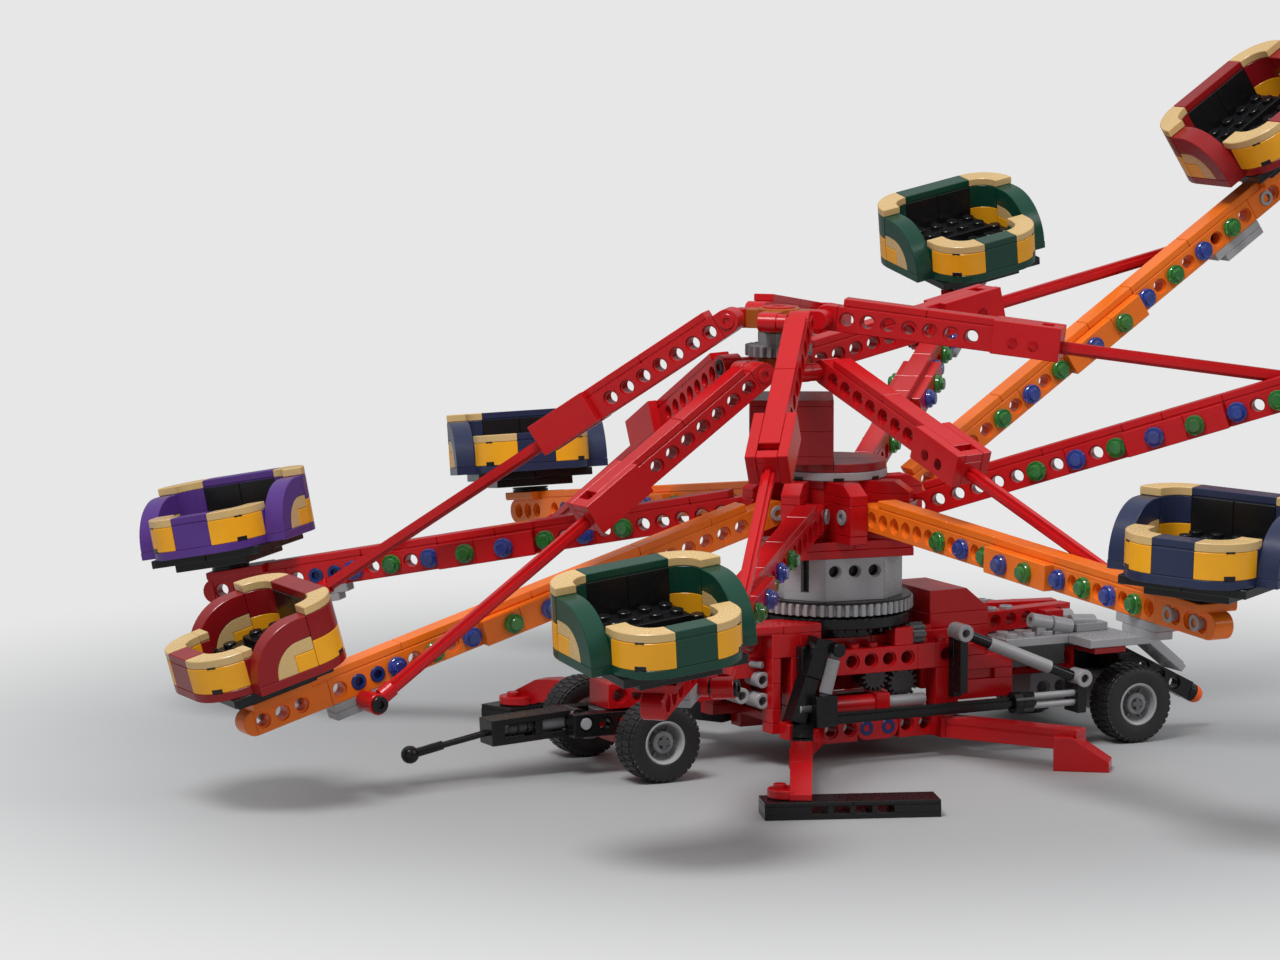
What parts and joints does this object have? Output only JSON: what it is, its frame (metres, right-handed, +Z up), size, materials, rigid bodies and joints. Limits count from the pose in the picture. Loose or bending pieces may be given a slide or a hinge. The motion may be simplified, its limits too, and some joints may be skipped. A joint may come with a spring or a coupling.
{
  "type": "octopus ride toy",
  "caption": "Brick-built toy octopus ride: spinning cars on raised arms with stays around a turning tower on a wheeled trailer with folding legs.",
  "frame": {"origin": "the turntable axis at ground level", "axes": "+Z up along the turntable axis, +X along the trailer towards its rear wheels, +Y to the far side of the picture"},
  "size_m": [0.5036, 0.5635, 0.2665],
  "materials": {
    "red": "gloss",
    "dark_red": "gloss",
    "orange": "gloss",
    "dark_green": "gloss",
    "dark_blue": "gloss",
    "purple": "gloss",
    "light_grey": "gloss",
    "dark_grey": "gloss",
    "black": "gloss",
    "lamp_orange": "gloss",
    "tyre": "matte"
  },
  "bodies": {
    "chassis": {"chassis_frame": "red", "turntable_base": "black", "rear_box": "red", "rear_deck": "light_grey", "rear_bumper": "black", "tail_lamps": "lamp_orange", "rear_axle": "light_grey", "outriggers_front": "red", "outriggers_rear": "red", "outrigger_pads": "black", "leg_actuators": "light_grey", "drive_gears": "dark_grey"},
    "dolly": {"dolly_frame": "red"},
    "drawbar": {"drawbar": "black"},
    "wheel_rear_near": {"tyre_rear_near": "tyre", "rim_rear_near": "light_grey"},
    "wheel_rear_far": {"tyre_rear_far": "tyre", "rim_rear_far": "light_grey"},
    "wheel_front_near": {"tyre_front_near": "tyre", "rim_front_near": "light_grey"},
    "wheel_front_far": {"tyre_front_far": "tyre", "rim_front_far": "light_grey"},
    "tower": {"toothed_ring": "light_grey", "ring_drum": "light_grey", "tower_body": "red", "top_disc": "dark_red", "mast_block": "dark_red", "hub_spider": "red", "hub_gear": "dark_grey", "pivot_pins": "light_grey", "stays_upper": "red", "stays_lower": "red", "car_bearings": "black", "arm_1": "red", "arm_2": "orange", "arm_3": "red", "arm_4": "orange", "arm_5": "red", "arm_6": "orange", "arm_7": "red", "arm_8": "orange"},
    "car_1": {"car_1_tub": "dark_green", "car_1_seat": "black"},
    "car_2": {"car_2_tub": "dark_blue", "car_2_seat": "black"},
    "car_3": {"car_3_tub": "purple", "car_3_seat": "black"},
    "car_4": {"car_4_tub": "dark_red", "car_4_seat": "black"},
    "car_5": {"car_5_tub": "dark_green", "car_5_seat": "black"},
    "car_6": {"car_6_tub": "dark_blue", "car_6_seat": "black"},
    "car_7": {"car_7_tub": "purple", "car_7_seat": "black"},
    "car_8": {"car_8_tub": "dark_red", "car_8_seat": "black"}
  },
  "joints": [
    {"name": "turntable_spin", "type": "hinge", "parent": "chassis", "child": "tower", "pos_m": [0, 0, 0.055], "axis": [0, 0, 1], "continuous": true},
    {"name": "dolly_steer", "type": "hinge", "parent": "chassis", "child": "dolly", "pos_m": [-0.091, 0, 0.0238], "axis": [0, 0, 1], "range_deg": [-25, 25]},
    {"name": "drawbar_pitch", "type": "hinge", "parent": "dolly", "child": "drawbar", "pos_m": [-0.111, 0, 0.02], "axis": [0, 1, 0], "range_deg": [-5, 20]},
    {"name": "wheel_rear_near_spin", "type": "hinge", "parent": "chassis", "child": "wheel_rear_near", "pos_m": [0.111, -0.038, 0.0152], "axis": [0, 1, 0], "continuous": true},
    {"name": "wheel_rear_far_spin", "type": "hinge", "parent": "chassis", "child": "wheel_rear_far", "pos_m": [0.111, 0.038, 0.0152], "axis": [0, 1, 0], "continuous": true},
    {"name": "wheel_front_near_spin", "type": "hinge", "parent": "dolly", "child": "wheel_front_near", "pos_m": [-0.091, -0.031, 0.0152], "axis": [0, 1, 0], "continuous": true},
    {"name": "wheel_front_far_spin", "type": "hinge", "parent": "dolly", "child": "wheel_front_far", "pos_m": [-0.091, 0.031, 0.0152], "axis": [0, 1, 0], "continuous": true},
    {"name": "car_1_spin", "type": "hinge", "parent": "tower", "child": "car_1", "pos_m": [0.15907, 0.17178, 0.16947], "axis": [-0.185, -0.1998, 0.9622], "continuous": true},
    {"name": "car_2_spin", "type": "hinge", "parent": "tower", "child": "car_2", "pos_m": [-0.00949, 0.24706, 0.08019], "axis": [-0.0052, 0.1356, 0.9907], "continuous": true},
    {"name": "car_3_spin", "type": "hinge", "parent": "tower", "child": "car_3", "pos_m": [-0.18071, 0.16734, 0.06906], "axis": [-0.1362, 0.1261, 0.9826], "continuous": true},
    {"name": "car_4_spin", "type": "hinge", "parent": "tower", "child": "car_4", "pos_m": [-0.24301, -0.00933, 0.04929], "axis": [-0.2738, -0.0105, 0.9617], "continuous": true},
    {"name": "car_5_spin", "type": "hinge", "parent": "tower", "child": "car_5", "pos_m": [-0.16777, -0.18117, 0.07558], "axis": [-0.1063, -0.1148, 0.9877], "continuous": true},
    {"name": "car_6_spin", "type": "hinge", "parent": "tower", "child": "car_6", "pos_m": [0.0095, -0.24738, 0.09943], "axis": [0.0019, -0.0488, 0.9988], "continuous": true},
    {"name": "car_7_spin", "type": "hinge", "parent": "tower", "child": "car_7", "pos_m": [0.16941, -0.15688, 0.17772], "axis": [-0.228, 0.2111, 0.9505], "continuous": true},
    {"name": "car_8_spin", "type": "hinge", "parent": "tower", "child": "car_8", "pos_m": [0.20197, 0.00776, 0.22762], "axis": [-0.5457, -0.021, 0.8377], "continuous": true}
  ]
}
